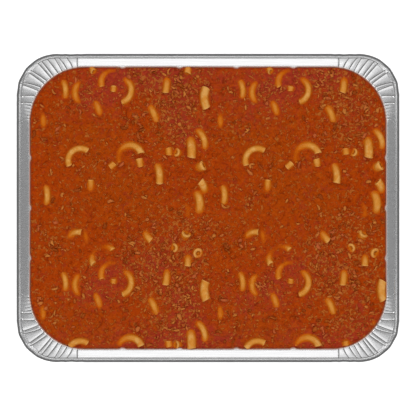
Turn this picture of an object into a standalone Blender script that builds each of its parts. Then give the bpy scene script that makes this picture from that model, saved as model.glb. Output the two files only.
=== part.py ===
"""Macaroni and minced beef in tomato sauce, in a half-size aluminium foil tray.

Two solids make the object: the foil tray, pressed from one sheet, and the food that fills it.
Metres, +Z up. The origin is under the middle of the tray's floor, and the long side runs along X.
"""

import math
import random
from collections import namedtuple

import bmesh
import bpy
import numpy as np
from mathutils import Vector
from mathutils.geometry import delaunay_2d_cdt

MM = 0.001

# The tray: outer size of the rolled rim, and the sheet it is pressed from
RIM_LENGTH = 324 * MM
RIM_WIDTH = 261 * MM
RIM_CORNER_RADIUS = 31 * MM
TRAY_HEIGHT = 43 * MM
FOIL = 0.4 * MM
BEAD_RADIUS = 1.6 * MM
BEAD_SIDES = (80, 0, -55, -110)  # degrees round the rolled edge, from outward, upward first

# Insets are measured inward from the outer edge of the rim
FLANGE_START = 3.1 * MM
FLANGE_END = 9.8 * MM
FLANGE_RISE = 0.8 * MM
SHOULDER_INSET = 10.6 * MM
WALL_TOP_INSET = 11.1 * MM
WALL_FOOT_INSET = 25.5 * MM
FLOOR_INSET = 28.5 * MM
WALL_TOP_DROP = 1.4 * MM
WALL_FOOT_Z = 3.0 * MM

# Inside the flange every corner turns about this point, in the first quadrant
CORNER_X = 104 * MM
CORNER_Y = CORNER_X - (RIM_LENGTH - RIM_WIDTH) / 2

# Upright ribs pressed into the walls, by their distance from the middle of the side
LONG_SIDE_RIBS = (24.1 * MM, 72.3 * MM)
SHORT_SIDE_RIBS = (0.0, 42.5 * MM)
RIB_WIDTH = 7.0 * MM
RIB_CREST = 2.6 * MM
RIB_DEPTH = 1.2 * MM

# Pleats where the sheet gathers round a corner: their widths, from the long side to the short one
PLEAT_WIDTHS = (6.5, 5.8, 4.1, 5.2, 4.4, 3.1, 6.5, 2.6, 5.7, 3.4, 7.6, 5.3, 3.9, 4.6, 4.2)
CREASE_WIDTH = 0.7
PLEAT_DEPTH = 0.9 * MM

# Stiffening ribs across the floor, raised from below
FLOOR_RIBS_X = (20 * MM, 60 * MM, 100 * MM)
FLOOR_RIB_LENGTH = 150 * MM
FLOOR_RIB_WIDTH = 7.0 * MM
FLOOR_RIB_HEIGHT = 1.2 * MM

# The food: level of the sauce, and the gap that keeps it clear of the foil
SAUCE_Z = 39.5 * MM
SAUCE_EDGE_RISE = 0.4 * MM
FOIL_GAP = 0.35 * MM
SAUCE_CELL = 11.5 * MM
SAUCE_UNEVENNESS = 0.6 * MM

# An elbow of macaroni: a short tube bent to this radius
ELBOW_RADIUS = 10.2 * MM
ELBOW_WIDTH = 5.3
ELBOW_SIDES = 6
ELBOW_STEP = 32  # degrees of bend for each straight stretch
TUBE_WALL = 0.27  # of the tube's width
MOUTH_DEPTH = 3 * MM

# The meal shows the same lie of elbows again after this far along X and Y
REPEAT_X = 150 * MM
REPEAT_Y = 163 * MM

CRUMB_COUNT = 60
CRUMB_SIZE = (3.4 * MM, 5.0 * MM)

Elbow = namedtuple(
    "Elbow",
    "x y heading back ahead lean pitch rise width mouth",
    defaults=(40, 40, 60, 0, 0.0, ELBOW_WIDTH, False),
)

# Each elbow passes through (x, y), in millimetres from the middle of the tray, along its heading.
# It bends back and ahead of there by those degrees. Lean 0 bends it flat to the left, 90 down and
# 180 flat to the right. Rise is its axis above the sauce, and mouth opens its upper end.
ELBOWS = (
    # lying flat, so that the whole bend shows
    Elbow(-114.6, 48.1, 219.5, 73, 73, 8, 0, 0.9, 5.1),
    Elbow(-64.9, 100.0, 90, 74, 72, 12, -7, 0.7, 5.3),
    Elbow(-88.0, 113.2, 229, 66, 62, 4, 0, -1.3, 5.2),
    Elbow(-69.3, 52.7, 200, 90, 98, 8, -10, 0.1, 5.6),
    Elbow(-92.6, 129.0, 208, 77, 77, -14, 0, -1.2, 5.2),
    Elbow(-112.8, 97.9, 270, 50, 50, 10, 0, -1.0, 5.0),
    Elbow(-114.0, -20.9, 200, 40, 42, 16, -14, 0.6, 5.3),
    Elbow(-17.0, -2.4, 95, 35, 45, 4, 0, -1.6, 5.0),
    # arched over, so that the back shows and both ends dip
    Elbow(-120.6, 100.8, 97, 45, 45, 62, 0, 0.6, 4.8),
    Elbow(-135.9, 11.1, 92, 45, 45, 62, 0, 0.8, 5.2),
    Elbow(-34.9, 104.3, 85, 45, 50, 72, 4, 0.4, 5.2),
    Elbow(-46.6, 80.5, 114, 40, 42, 75, 0, 0.1, 4.9),
    Elbow(-41.1, 29.3, 98, 50, 46, 66, -6, 0.9, 5.7),
    Elbow(-6.9, 5.1, 97, 56, 56, 60, 0, 0.5, 6.9),
    Elbow(-13.9, 50.4, 93, 50, 50, 74, -8, 0.7, 6.4),
    Elbow(-2.6, 93.3, 272, 56, 56, 56, 0, 0.6, 6.8),
    Elbow(-3.8, 59.6, 113, 56, 64, 52, -3, 0.8, 5.3),
    Elbow(-99.5, 17.0, 86, 45, 40, 84, 16, -0.4, 4.8),
    Elbow(-93.1, 84.7, 110, 40, 40, 76, 0, -0.5, 4.8),
    Elbow(-17.4, 117.8, 88, 45, 40, 80, -16, 0.0, 5.2),
    Elbow(-103.3, -25.3, 100, 45, 45, 70, 0, -1.5, 4.8),
    Elbow(-139.5, 74.1, 92, 40, 40, 74, 0, -1.4, 4.8),
    # an open end turned up out of the sauce, with the rest going down
    Elbow(-5.2, 21.2, 128, 90, 4, 56, 20, 0.8, 6.2, True),
    Elbow(-5.2, 35.5, 10, 80, 12, 70, 24, 0.8, 6.0, True),
    Elbow(-57.4, 37.9, 100, 70, 10, 80, 25, 0.4, 5.0, True),
    Elbow(-50.8, -24.9, 308, 70, 20, 70, 22, 0.2, 5.8, True),
    Elbow(-81.2, 36.1, 42, 75, 8, 70, 30, 0.3, 4.6, True),
    Elbow(-79.8, 100.8, 84, 75, 4, 80, 45, 0.6, 4.6, True),
    Elbow(-18.2, -20.8, 60, 74, 8, 62, 28, 0.7, 5.6, True),
    Elbow(-30.1, -33.4, 40, 80, 0, 80, 74, 1.6, 6.8, True),
    Elbow(-8.7, -37.6, 250, 80, 0, 80, 76, 1.8, 6.6, True),
    Elbow(-33.1, 46.8, 300, 80, 0, 80, 60, 1.2, 5.4, True),
    Elbow(-26.7, 47.2, 0, 80, 0, 80, 64, 1.2, 6.0, True),
)

# One ring of the tray's section: its inset and height, and how far ribs and pleats move it
Level = namedtuple("Level", "inset z rib pleat_out pleat_up radius", defaults=(0, 0, 0, None))
Station = namedtuple("Station", "side place rib pleat")


def clear_scene():
    """Removes what the start-up file holds."""
    for obj in list(bpy.data.objects):
        bpy.data.objects.remove(obj)


def make_material(name, colour, roughness, metallic=0.0):
    material = bpy.data.materials.new(name)
    material.use_nodes = True
    shader = material.node_tree.nodes["Principled BSDF"]
    shader.inputs["Base Color"].default_value = (*colour, 1)
    shader.inputs["Roughness"].default_value = roughness
    shader.inputs["Metallic"].default_value = metallic
    return material


def rib_stations(side, centre):
    """Four stations that draw one upright rib as a flat-topped bump, leaving out mirrored ones."""
    corners = ((-RIB_WIDTH / 2, 0), (-RIB_CREST / 2, 1), (RIB_CREST / 2, 1), (RIB_WIDTH / 2, 0))
    return [Station(side, centre + offset, rib, 0) for offset, rib in corners if centre + offset > 0]


def corner_stations():
    """The pleats of one corner: a slow fall across each, and a sharp step back at its crease."""
    total = sum(PLEAT_WIDTHS)
    stations = [Station("corner", 0.0, 0, 0)]
    reached = 0.0
    for width in PLEAT_WIDTHS[:-1]:
        reached += width
        stations.append(Station("corner", reached / total, 0, 1))
        stations.append(Station("corner", (reached + CREASE_WIDTH) / total, 0, 0))
    stations.append(Station("corner", 1.0, 0, 0))
    return stations


def quadrant_stations(corner):
    """Stations from the middle of the long side, round one corner, to the middle of the short side."""
    long_side = [s for centre in LONG_SIDE_RIBS for s in rib_stations("long", centre)]
    short_side = [s for centre in reversed(SHORT_SIDE_RIBS) for s in rib_stations("short", centre)]
    short_side.sort(key=lambda station: -station.place)
    return long_side + corner + short_side


def plan_point(station, inset, radius):
    """A station's place in plan on the ring at an inset, and its outward direction."""
    half_length = RIM_LENGTH / 2 - inset
    half_width = RIM_WIDTH / 2 - inset
    if radius is None:
        radius = half_length - CORNER_X
    if station.side == "long":
        return Vector((station.place, half_width)), Vector((0, 1))
    if station.side == "short":
        return Vector((half_length, station.place)), Vector((1, 0))
    lead = half_length - radius - CORNER_X
    arc = radius * math.pi / 2
    tail = half_width - radius - CORNER_Y
    gone = station.place * (lead + arc + tail)
    if gone <= lead:
        return Vector((CORNER_X + gone, half_width)), Vector((0, 1))
    if gone >= lead + arc:
        return Vector((half_length, half_width - radius - (gone - lead - arc))), Vector((1, 0))
    turn = (gone - lead) / radius
    outward = Vector((math.sin(turn), math.cos(turn)))
    return Vector((half_length - radius, half_width - radius)) + outward * radius, outward


def ring(level, quadrant):
    """All round the tray at one level, anticlockwise from above, from one quadrant's stations."""
    points = []
    for station in quadrant:
        place, outward = plan_point(station, level.inset, level.radius)
        place = place + outward * (level.rib * station.rib + level.pleat_out * station.pleat)
        points.append((place.x, place.y, level.z + level.pleat_up * station.pleat))
    forward = np.array(points)
    back = forward[::-1]
    mirrors = ((back, 1, 1), (forward, -1, 1), (back, -1, -1), (forward, 1, -1))
    return np.concatenate([part * (x, y, 1) for part, x, y in mirrors])


def loft(bm, rings):
    """Skins the rings in order, and returns the vertices of each."""
    made = [[bm.verts.new(point) for point in points] for points in rings]
    count = len(made[0])
    for low, high in zip(made, made[1:]):
        for i in range(count):
            j = (i + 1) % count
            bm.faces.new((low[i], low[j], high[j], high[i]))
    return made


def finish_object(bm, name, material=None, smooth_angle=None):
    mesh = bpy.data.meshes.new(name)
    bm.normal_update()
    bm.to_mesh(mesh)
    bm.free()
    obj = bpy.data.objects.new(name, mesh)
    bpy.context.scene.collection.objects.link(obj)
    if material:
        mesh.materials.append(material)
    if smooth_angle:
        mesh.shade_smooth()
        mesh.set_sharp_from_angle(angle=math.radians(smooth_angle))
    return obj


def boolean(target, operation, tools, solver="EXACT"):
    """Joins or cuts the target with a collection of tools, applies it, and removes the tools."""
    collection = bpy.data.collections.new(f"{target.name}_{operation.lower()}_tools")
    for tool in tools:
        collection.objects.link(tool)
    modifier = target.modifiers.new(operation.title(), "BOOLEAN")
    modifier.operation = operation
    modifier.operand_type = "COLLECTION"
    modifier.collection = collection
    modifier.solver = solver
    graph = bpy.context.evaluated_depsgraph_get()
    result = bpy.data.meshes.new_from_object(target.evaluated_get(graph))
    target.modifiers.clear()
    target.data = result
    for tool in tools:
        bpy.data.objects.remove(tool)
    bpy.data.collections.remove(collection)


def tray_levels():
    """The tray's section, from under the floor, up the outside, round the bead and down inside."""
    bead_z = TRAY_HEIGHT - BEAD_RADIUS
    flange_z = TRAY_HEIGHT - 0.1 * MM
    under = FOIL * 1.05
    parallel = RIM_CORNER_RADIUS - FLANGE_START
    levels = [
        Level(FLOOR_INSET - 0.2 * MM, 0, -RIB_DEPTH / 2),
        Level(WALL_FOOT_INSET - under, WALL_FOOT_Z - 0.2 * MM, -RIB_DEPTH, 0.25 * PLEAT_DEPTH),
        Level(WALL_TOP_INSET - under, flange_z - WALL_TOP_DROP, -RIB_DEPTH, PLEAT_DEPTH),
        Level(FLANGE_END - 0.1 * MM, flange_z - FOIL, -RIB_DEPTH / 4, 0, -PLEAT_DEPTH),
        Level(FLANGE_START + 0.2 * MM, flange_z - FLANGE_RISE - FOIL, 0, 0, -PLEAT_DEPTH / 2, parallel),
    ]
    for angle in reversed(BEAD_SIDES):
        out = BEAD_RADIUS * math.cos(math.radians(angle))
        up = BEAD_RADIUS * math.sin(math.radians(angle))
        inset = BEAD_RADIUS - out
        bend = RIM_CORNER_RADIUS - inset
        levels.append(Level(inset, bead_z + up, 0, -PLEAT_DEPTH / 4, -PLEAT_DEPTH / 4, bend))
    return levels + [
        Level(FLANGE_START, flange_z - FLANGE_RISE, 0, 0, -PLEAT_DEPTH / 2, parallel),
        Level(FLANGE_END, flange_z, -RIB_DEPTH / 4, 0, -PLEAT_DEPTH),
        Level(SHOULDER_INSET, flange_z - 0.3 * MM, -RIB_DEPTH, PLEAT_DEPTH / 2, -PLEAT_DEPTH),
        Level(WALL_TOP_INSET, flange_z - WALL_TOP_DROP + 0.1 * MM, -RIB_DEPTH, PLEAT_DEPTH),
        Level(WALL_FOOT_INSET, WALL_FOOT_Z, -RIB_DEPTH, 0.25 * PLEAT_DEPTH),
        Level(FLOOR_INSET, FOIL, -RIB_DEPTH / 2),
    ]


def floor_bar(x, width, bottom, top, taper):
    """A long bar across the floor with chamfered ends, narrower at its top by the taper."""
    bm = bmesh.new()
    rings = []
    for z, trim in ((bottom, 0), (top, taper)):
        half = width / 2 - trim
        reach = FLOOR_RIB_LENGTH / 2 - trim
        outline = ((half, -reach + half), (half, reach - half), (half / 2, reach), (-half / 2, reach))
        outline += tuple((-px, -py) for px, py in outline)
        rings.append([(x + px, py, z) for px, py in outline])
    made = loft(bm, rings)
    bm.faces.new(reversed(made[0]))
    bm.faces.new(made[-1])
    return finish_object(bm, "floor_bar")


def make_tray():
    """The pressed foil tray as one solid of even thickness, with a rolled bead round its rim."""
    quadrant = quadrant_stations(corner_stations())
    bm = bmesh.new()
    made = loft(bm, [ring(level, quadrant) for level in tray_levels()])
    bm.faces.new(reversed(made[0]))
    bm.faces.new(made[-1])
    foil = make_material("bright foil", (0.83, 0.83, 0.84), 0.28, 1.0)
    tray = finish_object(bm, "foil_tray", foil)
    places = [side * x for x in FLOOR_RIBS_X for side in (-1, 1)]
    inside = FLOOR_RIB_WIDTH - 2 * FOIL
    ridge_top = FOIL + FLOOR_RIB_HEIGHT
    ridges = [floor_bar(x, FLOOR_RIB_WIDTH, FOIL / 2, ridge_top, FLOOR_RIB_HEIGHT) for x in places]
    boolean(tray, "UNION", ridges)
    grooves = [floor_bar(x, inside, -FOIL, FLOOR_RIB_HEIGHT, FLOOR_RIB_HEIGHT) for x in places]
    boolean(tray, "DIFFERENCE", grooves)
    tray.data.shade_smooth()
    tray.data.set_sharp_from_angle(angle=math.radians(25))
    return tray


def wall_inset(z):
    """How far inside the rim's edge the wall's inner face is, at a height."""
    wall_top_z = TRAY_HEIGHT - WALL_TOP_DROP
    share = (wall_top_z - z) / (wall_top_z - WALL_FOOT_Z)
    return WALL_TOP_INSET + share * (WALL_FOOT_INSET - WALL_TOP_INSET)


def food_rings():
    """The food's edge at its foot and at the sauce's surface, following the ribs of the wall."""
    corner = [Station("corner", turn / 7, 0, 0) for turn in range(8)]
    quadrant = quadrant_stations(corner)
    foot_z = FOIL + FLOOR_RIB_HEIGHT + FOIL_GAP
    edge_z = SAUCE_Z + SAUCE_EDGE_RISE
    foot = Level(FLOOR_INSET - 1.3 * MM, foot_z, -RIB_DEPTH)
    edge = Level(wall_inset(edge_z) + FOIL_GAP, edge_z, -RIB_DEPTH)
    return ring(foot, quadrant), ring(edge, quadrant)


def room_in_tray(x, y, z=SAUCE_Z):
    """Distance in plan from a point to the tray's wall at a height, negative outside."""
    inset = wall_inset(z)
    half_length = RIM_LENGTH / 2 - inset
    half_width = RIM_WIDTH / 2 - inset
    radius = half_length - CORNER_X
    past = Vector((max(abs(x) - CORNER_X, 0), max(abs(y) - CORNER_Y, 0)))
    if past.x > 0 and past.y > 0:
        return radius - past.length
    return min(half_length - abs(x), half_width - abs(y))


def sauce_points(dice):
    """Points of the sauce's uneven surface, inside its edge, on a shaken triangular grid."""
    points = []
    row_gap = SAUCE_CELL * math.sqrt(3) / 2
    rows = int(RIM_WIDTH / 2 / row_gap) + 1
    columns = int(RIM_LENGTH / 2 / SAUCE_CELL) + 1
    for row in range(-rows, rows + 1):
        for column in range(-columns, columns + 1):
            x = (column + 0.5 * (row % 2)) * SAUCE_CELL + dice.uniform(-0.2, 0.2) * SAUCE_CELL
            y = row * row_gap + dice.uniform(-0.2, 0.2) * SAUCE_CELL
            z = SAUCE_Z + dice.uniform(-SAUCE_UNEVENNESS, SAUCE_UNEVENNESS)
            if room_in_tray(x, y) > SAUCE_CELL / 2:
                points.append((x, y, z))
    return points


def make_sauce_core(dice):
    """The body of the meal without its elbows: the tray's inside, with an uneven top."""
    foot, edge = food_rings()
    bm = bmesh.new()
    made = loft(bm, [foot, edge])
    bm.faces.new(reversed(made[0]))
    inner = sauce_points(dice)
    flat = [Vector(point[:2]) for point in edge] + [Vector(point[:2]) for point in inner]
    count = len(edge)
    loop = [(i, (i + 1) % count) for i in range(count)]
    triangles = delaunay_2d_cdt(flat, loop, [], 1, 1e-6)[2]
    top = made[-1] + [bm.verts.new(point) for point in inner]
    for triangle in triangles:
        bm.faces.new([top[i] for i in triangle])
    bmesh.ops.recalc_face_normals(bm, faces=bm.faces)
    return finish_object(bm, "macaroni_and_beef")


def elbow_axis(elbow):
    """The elbow's centre line, as points with their directions, cut short where the wall is near."""
    heading, pitch, lean = (math.radians(a) for a in (elbow.heading, elbow.pitch, elbow.lean))
    level = Vector((math.cos(heading), math.sin(heading), 0))
    left = Vector((-math.sin(heading), math.cos(heading), 0))
    up = Vector((0, 0, 1))
    along = level * math.cos(pitch) + up * math.sin(pitch)
    above = up * math.cos(pitch) - level * math.sin(pitch)
    inward = left * math.cos(lean) - above * math.sin(lean)
    middle = Vector((elbow.x * MM, elbow.y * MM, SAUCE_Z + elbow.rise * MM))
    steps = max(2, round((elbow.back + elbow.ahead) / ELBOW_STEP))
    axis = []
    for step in range(steps + 1):
        turn = math.radians(-elbow.back + (elbow.back + elbow.ahead) * step / steps)
        lift = inward * (1 - math.cos(turn)) + along * math.sin(turn)
        place = middle + lift * ELBOW_RADIUS
        direction = along * math.cos(turn) + inward * math.sin(turn)
        axis.append((place, direction, inward))
    clear = elbow.width / 2 * MM + 2 * FOIL_GAP + RIB_DEPTH
    return [item for item in axis if room_in_tray(item[0].x, item[0].y, item[0].z) > clear]


def make_elbow(elbow, axis):
    """One elbow as a faceted rod, its upper end hollowed where that end is open to the eye."""
    side_axis = axis[0][1].cross(axis[0][2]).normalized()
    bm = bmesh.new()
    radius = elbow.width / 2 * MM

    def section(place, direction, size):
        across = direction.cross(side_axis).normalized()
        return [
            place
            + side_axis * size * math.cos(2 * math.pi * i / ELBOW_SIDES)
            + across * size * math.sin(2 * math.pi * i / ELBOW_SIDES)
            for i in range(ELBOW_SIDES)
        ]

    rings = [section(place, direction, radius) for place, direction, _ in axis]
    if elbow.mouth:
        place, direction, _ = axis[-1]
        bore = radius * (1 - 2 * TUBE_WALL)
        inwards = (axis[-2][0] - place).normalized()
        rings.append(section(place, direction, bore))
        rings.append(section(place + inwards * MOUTH_DEPTH, direction, bore))
    made = loft(bm, rings)
    bm.faces.new(reversed(made[0]))
    bm.faces.new(made[-1])
    bmesh.ops.recalc_face_normals(bm, faces=bm.faces)
    return finish_object(bm, "elbow")


def elbows_in_tray():
    """Every elbow, with the lie repeated over the tray, and its centre line."""
    found = []
    for across in (-1, 0, 1):
        for down in (-1, 0, 1):
            for elbow in ELBOWS:
                x = elbow.x + across * REPEAT_X / MM
                y = elbow.y + down * REPEAT_Y / MM
                moved = elbow._replace(x=x, y=y)
                axis = elbow_axis(moved)
                if len(axis) > 1:
                    found.append((moved, axis))
    return found


def make_crumb(dice, taken):
    """A pebble of minced beef, half sunk in the sauce and clear of the elbows."""
    size = dice.uniform(*CRUMB_SIZE)
    while True:
        x = dice.uniform(-RIM_LENGTH / 2, RIM_LENGTH / 2)
        y = dice.uniform(-RIM_WIDTH / 2, RIM_WIDTH / 2)
        if room_in_tray(x, y) > size + RIB_DEPTH and all(
            (Vector((x, y)) - spot).length > size for spot in taken
        ):
            break
    taken.append(Vector((x, y)))
    bm = bmesh.new()
    bmesh.ops.create_icosphere(bm, subdivisions=1, radius=size / 2)
    for vertex in bm.verts:
        vertex.co = Vector((x, y, SAUCE_Z)) + vertex.co * dice.uniform(0.8, 1.15)
    return finish_object(bm, "crumb")


def make_food():
    """Sauce, elbows and larger crumbs of beef, joined into one solid."""
    dice = random.Random(12)
    food = make_sauce_core(dice)
    placed = elbows_in_tray()
    elbows = [make_elbow(elbow, axis) for elbow, axis in placed]
    taken = [place.xy for _, axis in placed for place, _, _ in axis]
    crumbs = [make_crumb(dice, taken) for _ in range(CRUMB_COUNT)]
    boolean(food, "UNION", elbows + crumbs)
    food.data.materials.clear()
    food.data.materials.append(make_material("tomato sauce", (0.33, 0.05, 0.006), 0.4))
    return food


clear_scene()
make_tray()
make_food()
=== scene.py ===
# %% [markdown]
# # A foil tray of macaroni and minced beef
# This lesson dresses a ready-made solid model of a takeaway meal. The solid model fixes every
# size; here each visible surface is made again with the detail that the real one shows. There are
# six pieces: the foil rim and walls, the foil floor, the macaroni, the lumps and the grains of
# beef, and the sauce. Each is worked out with numpy as whole arrays of points, in millimetres.

import math
from collections import namedtuple

import bpy
import numpy as np
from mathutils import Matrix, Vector


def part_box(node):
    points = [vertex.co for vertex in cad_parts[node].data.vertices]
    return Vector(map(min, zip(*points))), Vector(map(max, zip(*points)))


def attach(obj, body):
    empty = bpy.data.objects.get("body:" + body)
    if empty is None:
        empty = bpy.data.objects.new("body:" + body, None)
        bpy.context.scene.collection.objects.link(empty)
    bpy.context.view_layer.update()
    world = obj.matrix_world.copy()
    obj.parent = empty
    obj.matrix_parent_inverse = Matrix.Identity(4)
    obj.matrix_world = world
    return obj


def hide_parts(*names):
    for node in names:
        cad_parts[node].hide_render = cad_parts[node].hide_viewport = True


MM = 0.001

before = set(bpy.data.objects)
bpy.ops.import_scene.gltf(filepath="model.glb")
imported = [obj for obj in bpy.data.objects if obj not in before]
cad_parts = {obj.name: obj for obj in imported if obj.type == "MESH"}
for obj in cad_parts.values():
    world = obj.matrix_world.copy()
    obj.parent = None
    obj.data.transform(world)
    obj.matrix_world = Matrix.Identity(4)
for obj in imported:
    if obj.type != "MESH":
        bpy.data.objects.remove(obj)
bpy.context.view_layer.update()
tray_low, tray_high = (np.array(corner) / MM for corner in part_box("foil_tray"))
food_high = np.array(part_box("macaroni_and_beef")[1]) / MM
RIM_LENGTH, RIM_WIDTH, TRAY_HEIGHT = tray_high - tray_low
print("tray", np.round(tray_high - tray_low, 2), "food reaches", np.round(food_high, 2))

# %% [markdown]
# ## From grids to meshes
# A grid of points becomes a mesh when every four neighbours are joined into a face. Blender's
# foreach_set takes the whole list at once, which is much faster than adding faces one by one.
# A grid can be joined end to end in either direction, which makes a ring, a tube or a torus.


# %% Grids and meshes
def grid_faces(rows, columns, ring_rows=False, ring_columns=False):
    """Corner numbers of a grid's quads: each point with its right, upper right and upper one."""
    row = np.arange(rows if ring_rows else rows - 1)[:, None]
    column = np.arange(columns if ring_columns else columns - 1)[None, :]
    next_row = (row + 1) % rows
    next_column = (column + 1) % columns
    corners = (
        row * columns + column,
        row * columns + next_column,
        next_row * columns + next_column,
        next_row * columns + column,
    )
    return np.stack(np.broadcast_arrays(*corners), axis=-1).reshape(-1, 4)


def grid_border(rows, columns):
    """Numbers of a grid's border points, once round it."""
    number = np.arange(rows * columns).reshape(rows, columns)
    return np.concatenate([number[0, :-1], number[:-1, -1], number[-1, :0:-1], number[:0:-1, 0]])


def add_piece(name, points, faces, body="root", **attributes):
    """Makes a mesh object that rides on a body. Attributes are one number for each point."""
    points = np.asarray(points, float).reshape(-1, 3)
    corners = np.concatenate([group.ravel() for group in faces])
    sizes = np.concatenate([np.full(len(group), group.shape[1]) for group in faces])
    mesh = bpy.data.meshes.new(name)
    mesh.vertices.add(len(points))
    mesh.vertices.foreach_set("co", (points * MM).ravel())
    mesh.loops.add(len(corners))
    mesh.loops.foreach_set("vertex_index", corners.astype(np.int32))
    mesh.polygons.add(len(sizes))
    mesh.polygons.foreach_set("loop_start", (np.cumsum(sizes) - sizes).astype(np.int32))
    mesh.update(calc_edges=True)
    mesh.shade_smooth()
    for key, values in attributes.items():
        layer = mesh.attributes.new(key, "FLOAT", "POINT")
        layer.data.foreach_set("value", np.asarray(values, np.float32).ravel())
    piece = bpy.data.objects.new(name, mesh)
    bpy.context.scene.collection.objects.link(piece)
    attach(piece, body)
    triangles = int((sizes - 2).sum())
    print(f"{name}: {len(points)} points, {triangles} triangles")
    return piece


# %% Smooth steps and smooth randomness
NET_SIZE = 61
NET_MIDDLE = 500


def smooth_step(start, end, value):
    """0 before start, 1 after end, and the S-curve 3t^2 - 2t^3 between them."""
    share = np.clip((value - start) / (end - start), 0, 1)
    return share * share * (3 - 2 * share)


def ripple(x, y, size, seed):
    """Random heights from -1 to 1 at the crossings of a square net, blended smoothly between."""
    net = np.random.default_rng(seed).uniform(-1, 1, (NET_SIZE, NET_SIZE))
    across = x / size + NET_MIDDLE
    up = y / size + NET_MIDDLE
    column = np.floor(across).astype(int)
    row = np.floor(up).astype(int)
    u = smooth_step(0, 1, across - column)
    v = smooth_step(0, 1, up - row)

    def crossing(up_one, right_one):
        return net[(row + up_one) % NET_SIZE, (column + right_one) % NET_SIZE]

    near = crossing(0, 0) * (1 - u) + crossing(0, 1) * u
    far = crossing(1, 0) * (1 - u) + crossing(1, 1) * u
    return near * (1 - v) + far * v


# %% [markdown]
# ## Shader maths as plain expressions
# A material is a graph of nodes. Written out, even `1 - mask * 0.5` takes two nodes and two links.
# The class below wraps the output of a node and overloads the arithmetic signs, so that such an
# expression on it adds its Math nodes by itself. `Finish.add` makes any other node.


# %% The shader classes
class Signal:
    """A number or colour that varies over a surface."""

    def __init__(self, finish, socket):
        self.finish = finish
        self.socket = socket

    def maths(self, operation, first, second):
        return self.finish.add("ShaderNodeMath", {"operation": operation}, {0: first, 1: second})

    def __add__(self, other):
        return self.maths("ADD", self, other)

    def __sub__(self, other):
        return self.maths("SUBTRACT", self, other)

    def __rsub__(self, other):
        return self.maths("SUBTRACT", other, self)

    def __mul__(self, other):
        return self.maths("MULTIPLY", self, other)

    __radd__ = __add__
    __rmul__ = __mul__

    def step(self, start, end):
        """0 below start and 1 above end, with a smooth rise between."""
        settings = {"interpolation_type": "SMOOTHSTEP"}
        return self.finish.add(
            "ShaderNodeMapRange", settings, {"Value": self, "From Min": start, "From Max": end}
        )


class Finish:
    """A material in the making, with one Principled shader."""

    def __init__(self, name):
        self.material = bpy.data.materials.new(name)
        self.material.use_nodes = True
        self.tree = self.material.node_tree
        self.shader = self.tree.nodes["Principled BSDF"]
        self.place = self.add("ShaderNodeTexCoord", output="Object")

    def add(self, kind, settings=None, inputs=None, output=0):
        node = self.tree.nodes.new(kind)
        for name, value in (settings or {}).items():
            setattr(node, name, value)
        for name, value in (inputs or {}).items():
            self.join(node.inputs[name], value)
        return Signal(self, node.outputs[output])

    def join(self, socket, value):
        if isinstance(value, Signal):
            self.tree.links.new(value.socket, socket)
        elif isinstance(value, tuple) and socket.type == "RGBA":
            socket.default_value = (*value, 1)
        else:
            socket.default_value = value

    def surface(self, **values):
        """Sets the shader's own sockets; an underscore stands for a space in their names."""
        for name, value in values.items():
            self.join(self.shader.inputs[name.replace("_", " ")], value)

    def attribute(self, name):
        return self.add("ShaderNodeAttribute", {"attribute_name": name}, output="Fac")

    def scaled_place(self, size_mm, stretch=(1, 1, 1), shift=0.0):
        scale = tuple(factor / (size_mm * MM) for factor in stretch)
        inputs = {"Vector": self.place, "Scale": scale, "Location": (shift, shift, shift)}
        return self.add("ShaderNodeMapping", inputs=inputs)

    def noise(self, size_mm, detail=2.0, roughness=0.5, distortion=0.0, **where):
        """Cloudy noise about 0.5, whose clouds are about size_mm across."""
        inputs = {"Vector": self.scaled_place(size_mm, **where), "Scale": 1.0, "Detail": detail}
        inputs.update({"Roughness": roughness, "Distortion": distortion})
        return self.add("ShaderNodeTexNoise", inputs=inputs)

    def mix(self, share, first, second):
        """One colour at share 0, the other at share 1."""
        settings = {"data_type": "RGBA", "clamp_factor": True}
        return self.add("ShaderNodeMix", settings, {0: share, 6: first, 7: second}, output=2)

    def coat(self, colour, *layers):
        """Lays colours over one another; each layer is its share and its colour."""
        for share, layer in layers:
            colour = self.mix(share, colour, layer)
        return colour

    def bump(self, height, depth_mm, strength=1.0):
        inputs = {"Height": height, "Distance": depth_mm * MM, "Strength": strength}
        return self.add("ShaderNodeBump", inputs=inputs)


# %% [markdown]
# ## Colours
# The palette is written as the colours that the finished meal shows to the eye, from 0 to 255.
# A surface's own colour is what is seen divided by how brightly it is lit, in linear light.

# %% From a seen colour to a surface colour
LIGHT_LEVEL = 0.95


def seen(red, green, blue, light=LIGHT_LEVEL):
    """The surface colour that looks like this when lit: sRGB made linear, over the light."""
    share = np.array([red, green, blue]) / 255
    linear = np.where(share <= 0.04045, share / 12.92, ((share + 0.055) / 1.055) ** 2.4)
    return tuple(float(value) for value in linear / light)


# %% [markdown]
# ## The tray's plan
# Seen from above, every level of the tray is a rectangle with round corners. Inside the flange
# all the corners turn about one point, so the levels differ only in their inset from the rim.
# One quadrant is enough: stations run from the middle of the long side, round the corner, to the
# middle of the short side, and mirror images of it make the rest.

# %% Sizes that the plan is worked out from
RIM_CORNER_RADIUS = 34.0
CORNER_X = 104.0
CORNER_Y = CORNER_X - (RIM_LENGTH - RIM_WIDTH) / 2
FLANGE_START, FLANGE_END = 3.7, 9.8
WALL_TOP_INSET, WALL_FOOT_INSET = 11.1, 25.5
WALL_FOOT_Z = 3.0
WALL_TOP_Z = TRAY_HEIGHT - 1.4
FLANGE_Z = TRAY_HEIGHT - 0.1
FLANGE_RISE = 0.8
FOIL = 0.4
FLOOR_INSET = 31.0

LONG_SIDE_RIBS = (24.1, 72.3)
SHORT_SIDE_RIBS = (0.0, 42.5)
RIB_WIDTH, RIB_DEPTH = 7.0, 1.2


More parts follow.
